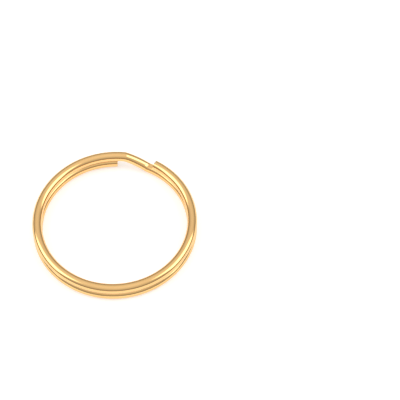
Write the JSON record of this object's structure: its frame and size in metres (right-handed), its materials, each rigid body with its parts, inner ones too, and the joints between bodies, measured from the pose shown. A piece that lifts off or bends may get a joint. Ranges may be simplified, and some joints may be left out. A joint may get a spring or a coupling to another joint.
{
  "type": "split key ring",
  "caption": "Split key ring of round gold-plated spring wire in flat turns joined by a crossover step; either turn springs open to thread a key.",
  "frame": {"origin": "on the ring's axis, at the surface that the lower turn rests on", "axes": "+Z along the ring's axis, up through the eye; +Y through the middle of the crossover step; the upper turn runs anticlockwise from the step seen from above"},
  "size_m": [0.025, 0.025, 0.003],
  "materials": {
    "gold_plate": "bright gold plate over drawn spring steel wire, polished, warm pale gold"
  },
  "bodies": {
    "lower_tip": {"lower_tip": "gold_plate"},
    "lower_turn_6": {"lower_turn_6": "gold_plate"},
    "lower_turn_5": {"lower_turn_5": "gold_plate"},
    "lower_turn_4": {"lower_turn_4": "gold_plate"},
    "lower_turn_3": {"lower_turn_3": "gold_plate"},
    "lower_turn_2": {"lower_turn_2": "gold_plate"},
    "lower_turn_1": {"lower_turn_1": "gold_plate"},
    "step": {"lower_heel": "gold_plate", "crossover_step": "gold_plate", "upper_heel": "gold_plate"},
    "upper_turn_1": {"upper_turn_1": "gold_plate"},
    "upper_turn_2": {"upper_turn_2": "gold_plate"},
    "upper_turn_3": {"upper_turn_3": "gold_plate"},
    "upper_turn_4": {"upper_turn_4": "gold_plate"},
    "upper_turn_5": {"upper_turn_5": "gold_plate"},
    "upper_turn_6": {"upper_turn_6": "gold_plate"},
    "upper_tip": {"upper_tip": "gold_plate"}
  },
  "joints": [
    {"name": "lower_flexure_7", "type": "hinge", "parent": "lower_tip", "child": "lower_turn_6", "pos_m": [-0.00831, 0.00831, 0.00075], "axis": [0.4352, -0.9004, 0], "range_deg": [0, 0.455]},
    {"name": "lower_flexure_6", "type": "hinge", "parent": "lower_turn_6", "child": "lower_turn_5", "pos_m": [-0.01175, 0, 0.00075], "axis": [0.708, -0.7062, 0], "range_deg": [0, 1.17]},
    {"name": "lower_flexure_5", "type": "hinge", "parent": "lower_turn_5", "child": "lower_turn_4", "pos_m": [-0.00831, -0.00831, 0.00075], "axis": [0.9332, -0.3592, 0], "range_deg": [0, 1.83]},
    {"name": "lower_flexure_4", "type": "hinge", "parent": "lower_turn_4", "child": "lower_turn_3", "pos_m": [0, -0.01175, 0.00075], "axis": [0.9949, 0.1008, 0], "range_deg": [0, 2.2], "stiffness_Nm_per_rad": 0.02},
    {"name": "lower_flexure_3", "type": "hinge", "parent": "lower_turn_3", "child": "lower_turn_2", "pos_m": [0.00831, -0.00831, 0.00075], "axis": [0.7071, 0.7071, 0], "range_deg": [0, 2.08]},
    {"name": "lower_flexure_2", "type": "hinge", "parent": "lower_turn_2", "child": "lower_turn_1", "pos_m": [0.01175, 0, 0.00075], "axis": [0, 1, 0], "range_deg": [0, 1.4]},
    {"name": "lower_flexure_1", "type": "hinge", "parent": "lower_turn_1", "child": "step", "pos_m": [0.00831, 0.00831, 0.00075], "axis": [-0.7071, 0.7071, 0], "range_deg": [0, 0.558]},
    {"name": "upper_flexure_1", "type": "hinge", "parent": "step", "child": "upper_turn_1", "pos_m": [-0.00831, 0.00831, 0.0023], "axis": [-0.7071, -0.7071, 0], "range_deg": [0, 0.558]},
    {"name": "upper_flexure_2", "type": "hinge", "parent": "upper_turn_1", "child": "upper_turn_2", "pos_m": [-0.01175, 0, 0.0023], "axis": [0, -1, 0], "range_deg": [0, 1.4]},
    {"name": "upper_flexure_3", "type": "hinge", "parent": "upper_turn_2", "child": "upper_turn_3", "pos_m": [-0.00831, -0.00831, 0.0023], "axis": [0.7071, -0.7071, 0], "range_deg": [0, 2.08]},
    {"name": "upper_flexure_4", "type": "hinge", "parent": "upper_turn_3", "child": "upper_turn_4", "pos_m": [0, -0.01175, 0.0023], "axis": [0.9949, -0.1008, 0], "range_deg": [0, 2.2], "stiffness_Nm_per_rad": 0.02},
    {"name": "upper_flexure_5", "type": "hinge", "parent": "upper_turn_4", "child": "upper_turn_5", "pos_m": [0.00831, -0.00831, 0.0023], "axis": [0.9332, 0.3592, 0], "range_deg": [0, 1.83]},
    {"name": "upper_flexure_6", "type": "hinge", "parent": "upper_turn_5", "child": "upper_turn_6", "pos_m": [0.01175, 0, 0.0023], "axis": [0.708, 0.7062, 0], "range_deg": [0, 1.17]},
    {"name": "upper_flexure_7", "type": "hinge", "parent": "upper_turn_6", "child": "upper_tip", "pos_m": [0.00831, 0.00831, 0.0023], "axis": [0.4352, 0.9004, 0], "range_deg": [0, 0.455]}
  ],
  "couplings": [
    {"joint": "lower_flexure_7", "follows": "lower_flexure_4", "ratio": 0.20612},
    {"joint": "lower_flexure_6", "follows": "lower_flexure_4", "ratio": 0.53112},
    {"joint": "lower_flexure_5", "follows": "lower_flexure_4", "ratio": 0.83061},
    {"joint": "lower_flexure_3", "follows": "lower_flexure_4", "ratio": 0.94435},
    {"joint": "lower_flexure_2", "follows": "lower_flexure_4", "ratio": 0.63706},
    {"joint": "lower_flexure_1", "follows": "lower_flexure_4", "ratio": 0.25304},
    {"joint": "upper_flexure_1", "follows": "upper_flexure_4", "ratio": 0.25304},
    {"joint": "upper_flexure_2", "follows": "upper_flexure_4", "ratio": 0.63706},
    {"joint": "upper_flexure_3", "follows": "upper_flexure_4", "ratio": 0.94435},
    {"joint": "upper_flexure_5", "follows": "upper_flexure_4", "ratio": 0.83061},
    {"joint": "upper_flexure_6", "follows": "upper_flexure_4", "ratio": 0.53112},
    {"joint": "upper_flexure_7", "follows": "upper_flexure_4", "ratio": 0.20612}
  ]
}
